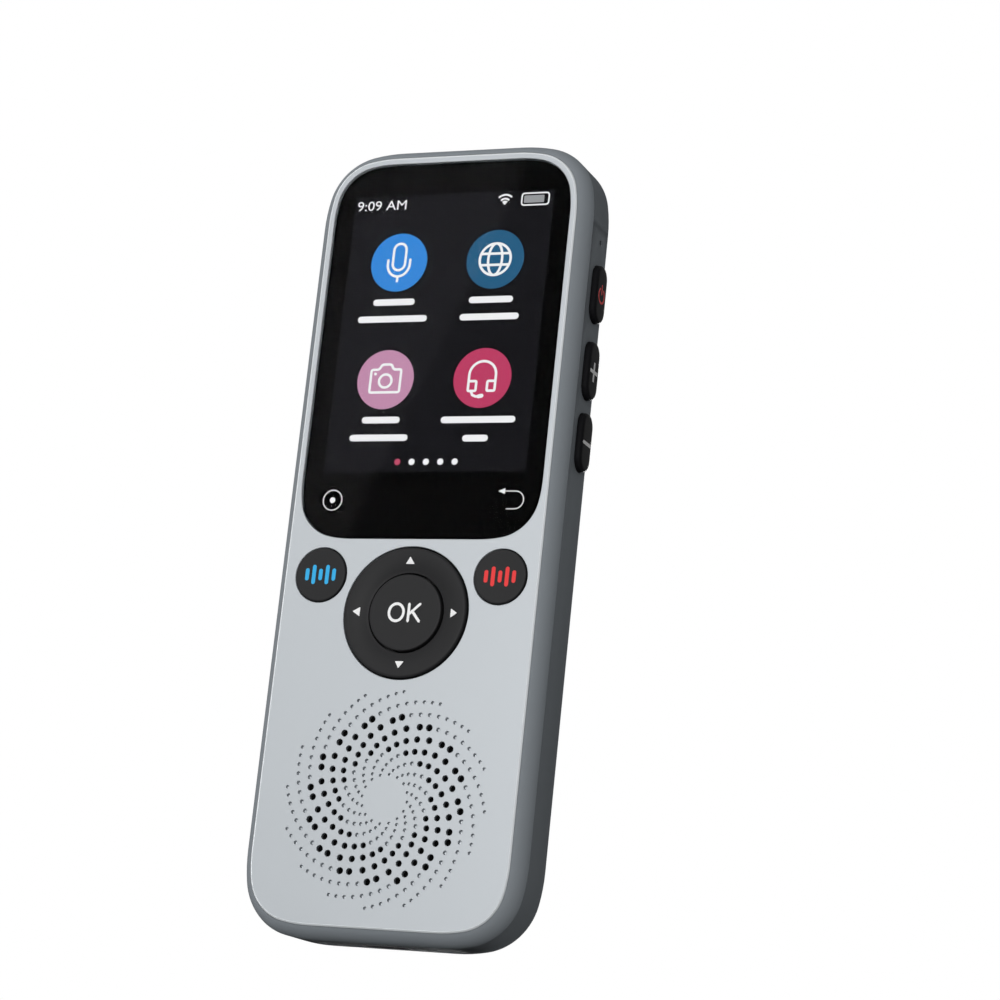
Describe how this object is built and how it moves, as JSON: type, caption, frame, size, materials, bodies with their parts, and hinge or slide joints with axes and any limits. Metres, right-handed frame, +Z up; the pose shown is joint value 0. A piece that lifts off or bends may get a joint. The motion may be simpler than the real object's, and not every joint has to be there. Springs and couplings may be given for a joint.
{
  "type": "handheld translator",
  "caption": "Slim upright handheld translator with a tall touch screen over round keys and a spiral speaker grille, keys on one side, a card tray on the other and a camera behind.",
  "frame": {"origin": "middle of the bottom end of the casing, on the plane it would stand on", "axes": "+Z up along the body towards the end above the screen; -Y is the side of the screen and keys; +X is to the right when the screen is looked at"},
  "size_m": [0.0507, 0.0152, 0.1354],
  "materials": {
    "silver_casing": "fine bead-blasted satin",
    "screen_glass": "polished clear cover glass",
    "adhesive": "black double-sided tape",
    "display": "lit colour display",
    "display_tray": "plain pressed tray",
    "flex": "amber flexible circuit",
    "dark_keys": "smooth dark charcoal keys with printed marks",
    "side_keys": "semi-gloss black with printed marks",
    "key_rubber": "soft grey silicone",
    "spring_steel": "thin sprung steel",
    "circuit_board": "green solder mask",
    "black_parts": "moulded black components",
    "antenna_ceramic": "white ceramic block",
    "battery_wrap": "dark foil pouch",
    "lead_red": "red insulation",
    "lead_black": "black insulation",
    "speaker_parts": "black moulded frame, cone and woven mesh",
    "magnet": "plated magnet cup",
    "card_cap": "satin grey tray",
    "camera_ring": "deep gloss black funnel",
    "lens_glass": "coated lens with a violet tint",
    "screws": "plated steel"
  },
  "bodies": {
    "casing": {"backlight_tray": "display_tray", "battery_cell": "battery_wrap", "battery_lead_black": "lead_black", "battery_lead_red": "lead_red", "battery_pad": "adhesive", "battery_plug": "black_parts", "board_screws": "screws", "camera_barrel": "black_parts", "camera_bezel": "camera_ring", "camera_lens": "lens_glass", "camera_module": "black_parts", "card_socket": "spring_steel", "case_screws": "screws", "cover_glass": "screen_glass", "display_connector": "black_parts", "display_flex": "flex", "display_panel": "display", "front_cover": "silver_casing", "front_plate": "silver_casing", "glass_adhesive": "adhesive", "key_domes": "spring_steel", "key_mat": "key_rubber", "main_board": "circuit_board", "memory_chips": "black_parts", "microphones": "black_parts", "mid_frame": "silver_casing", "processor": "black_parts", "rear_cover": "silver_casing", "shield_can": "spring_steel", "side_key_board": "circuit_board", "side_switches": "black_parts", "speaker_basket": "speaker_parts", "speaker_cone": "speaker_parts", "speaker_gasket": "key_rubber", "speaker_magnet": "magnet", "speaker_mesh": "speaker_parts", "usb_board": "circuit_board", "usb_flex": "flex", "usb_socket_shell": "spring_steel", "usb_tongue": "black_parts", "wifi_antenna": "antenna_ceramic"},
    "nav_rocker": {"nav_rocker": "spring_steel"},
    "nav_ring": {"nav_ring": "dark_keys"},
    "ok_button": {"ok_button": "dark_keys"},
    "voice_key_left": {"voice_key_left": "dark_keys"},
    "voice_key_right": {"voice_key_right": "dark_keys"},
    "power_button": {"power_button": "side_keys"},
    "volume_up_button": {"volume_up_button": "side_keys"},
    "volume_down_button": {"volume_down_button": "side_keys"},
    "card_tray": {"card_tray": "card_cap", "memory_card": "black_parts"}
  },
  "joints": [
    {"name": "pad_up_down", "type": "hinge", "parent": "casing", "child": "nav_rocker", "pos_m": [0, -0.0039, 0.0536], "axis": [1, 0, 0], "range_deg": [-2, 2], "stiffness_Nm_per_rad": 0.02},
    {"name": "pad_left_right", "type": "hinge", "parent": "nav_rocker", "child": "nav_ring", "pos_m": [0, -0.0039, 0.0536], "axis": [0, 0, 1], "range_deg": [-2, 2], "stiffness_Nm_per_rad": 0.02},
    {"name": "ok_press", "type": "slide", "parent": "casing", "child": "ok_button", "axis": [0, 1, 0], "range_m": [0, 0.0004], "stiffness_N_per_m": 100},
    {"name": "voice_left_press", "type": "slide", "parent": "casing", "child": "voice_key_left", "axis": [0, 1, 0], "range_m": [0, 0.0004], "stiffness_N_per_m": 100},
    {"name": "voice_right_press", "type": "slide", "parent": "casing", "child": "voice_key_right", "axis": [0, 1, 0], "range_m": [0, 0.0004], "stiffness_N_per_m": 100},
    {"name": "power_press", "type": "slide", "parent": "casing", "child": "power_button", "axis": [-1, 0, 0], "range_m": [0, 0.0004], "stiffness_N_per_m": 100},
    {"name": "volume_up_press", "type": "slide", "parent": "casing", "child": "volume_up_button", "axis": [-1, 0, 0], "range_m": [0, 0.0004], "stiffness_N_per_m": 100},
    {"name": "volume_down_press", "type": "slide", "parent": "casing", "child": "volume_down_button", "axis": [-1, 0, 0], "range_m": [0, 0.0004], "stiffness_N_per_m": 100},
    {"name": "card_tray_slide", "type": "slide", "parent": "casing", "child": "card_tray", "axis": [-1, 0, 0], "range_m": [0, 0.016]}
  ]
}
